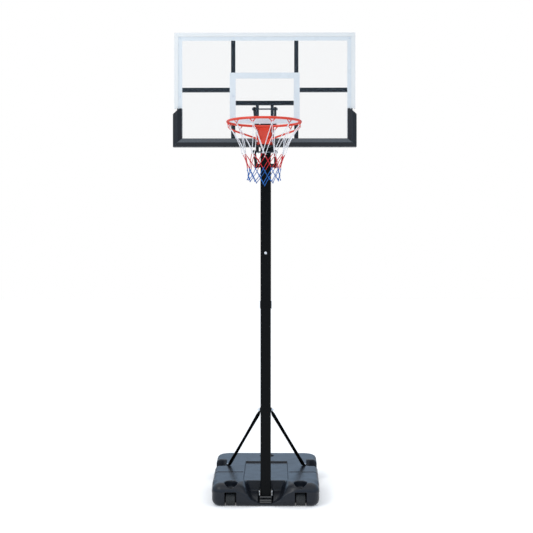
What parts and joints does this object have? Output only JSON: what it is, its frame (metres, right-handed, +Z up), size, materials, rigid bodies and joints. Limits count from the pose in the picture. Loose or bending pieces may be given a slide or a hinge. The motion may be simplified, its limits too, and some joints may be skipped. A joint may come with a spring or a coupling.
{
  "type": "portable basketball hoop",
  "caption": "Free-standing hoop: ballast base on wheels, square pole with struts, four-arm height lift, clear framed board, red rim with brace and a tapered net.",
  "frame": {"origin": "on the floor under the tank, on the axis of the pole", "axes": "+Z up along the pole; the board and rim face -Y, the base runs back along +Y; +X is to the right of someone facing the board"},
  "size_m": [1.236, 2.341, 3.331],
  "materials": {
    "tank": "satin",
    "rubber_black": "matte",
    "black_plastic": "satin",
    "water": "gloss",
    "zinc": "satin",
    "wheel_plastic": "satin",
    "wheel_tread": "matte",
    "black_steel": "satin",
    "slate_steel": "satin",
    "clear_sheet": "polished",
    "trim": "satin",
    "guard": "matte",
    "rim_red": "gloss",
    "net_cord": "matte"
  },
  "bodies": {
    "base": {"base_tank": "tank", "filler_gasket": "rubber_black", "ballast": "water", "wheel_axles": "zinc", "axle_clips": "zinc", "foot_bracket": "black_steel", "foot_bolts": "zinc", "anchor_bolts": "zinc", "pole_bottom": "black_steel", "pole_middle": "black_steel", "pole_top_section": "black_steel", "pole_cap": "black_plastic", "strut_left": "black_steel", "strut_right": "black_steel", "strut_pole_bolt": "zinc", "strut_base_bolts": "zinc", "upper_pole_bolt": "zinc", "lower_pole_bolt": "zinc", "pole_spacers": "black_plastic", "lock_bolt": "zinc", "lock_sleeve": "black_steel"},
    "cap": {"filler_cap": "black_plastic"},
    "wheel_left": {"hub_left": "wheel_plastic", "tyre_left": "wheel_tread"},
    "wheel_right": {"hub_right": "wheel_plastic", "tyre_right": "wheel_tread"},
    "knob": {"lock_knob": "black_plastic"},
    "upper_arms": {"upper_arm_left": "black_steel", "upper_arm_right": "black_steel"},
    "lower_arms": {"lower_arm_left": "black_steel", "lower_arm_right": "black_steel", "rear_bolt": "zinc", "rear_spacers": "black_plastic"},
    "adjuster": {"adjuster_channel": "black_steel", "adjuster_grip": "black_plastic"},
    "board": {"board_channel_left": "slate_steel", "board_channel_right": "slate_steel", "upper_board_bolt": "zinc", "lower_board_bolt": "zinc", "board_spacers": "slate_steel", "channel_screws": "zinc", "frame_perimeter": "slate_steel", "frame_uprights": "slate_steel", "frame_rails": "slate_steel", "rim_spacer_box": "slate_steel", "backboard_sheet": "clear_sheet", "edge_trim": "trim", "sheet_screws": "zinc", "edge_guard_bottom": "guard", "edge_guard_left": "guard", "edge_guard_right": "guard", "rim_ring": "rim_red", "net_hooks": "rim_red", "rim_brace": "rim_red", "rim_bracket": "rim_red", "rim_bolts": "zinc", "net": "net_cord"}
  },
  "joints": [
    {"name": "lift", "type": "hinge", "parent": "base", "child": "upper_arms", "pos_m": [0, 0, 2.786], "axis": [-1, 0, 0], "range_deg": [-40.4, 38.5]},
    {"name": "lower_arm_pivot", "type": "hinge", "parent": "base", "child": "lower_arms", "pos_m": [0, 0, 2.494], "axis": [-1, 0, 0], "range_deg": [-40.4, 38.5]},
    {"name": "board_pivot", "type": "hinge", "parent": "upper_arms", "child": "board", "pos_m": [0, -0.59883, 2.8235], "axis": [-1, 0, 0], "range_deg": [-38.5, 40.4]},
    {"name": "adjuster_pivot", "type": "hinge", "parent": "lower_arms", "child": "adjuster", "pos_m": [0, 0.08982, 2.48838], "axis": [-1, 0, 0], "range_deg": [-38.5, 40.4]},
    {"name": "wheel_left_spin", "type": "hinge", "parent": "base", "child": "wheel_left", "pos_m": [-0.256, -0.068, 0.047], "axis": [1, 0, 0], "continuous": true},
    {"name": "wheel_right_spin", "type": "hinge", "parent": "base", "child": "wheel_right", "pos_m": [0.256, -0.068, 0.047], "axis": [1, 0, 0], "continuous": true},
    {"name": "lock_knob_turn", "type": "hinge", "parent": "base", "child": "knob", "pos_m": [0, 0.11282, 1.844], "axis": [0, 1, 0], "continuous": true},
    {"name": "filler_cap_turn", "type": "hinge", "parent": "base", "child": "cap", "pos_m": [0, 0.93, 0.155], "axis": [0, 0, 1], "continuous": true}
  ],
  "couplings": [
    {"joint": "lower_arm_pivot", "follows": "lift", "ratio": 1},
    {"joint": "board_pivot", "follows": "lift", "ratio": -1},
    {"joint": "adjuster_pivot", "follows": "lift", "ratio": -1}
  ]
}
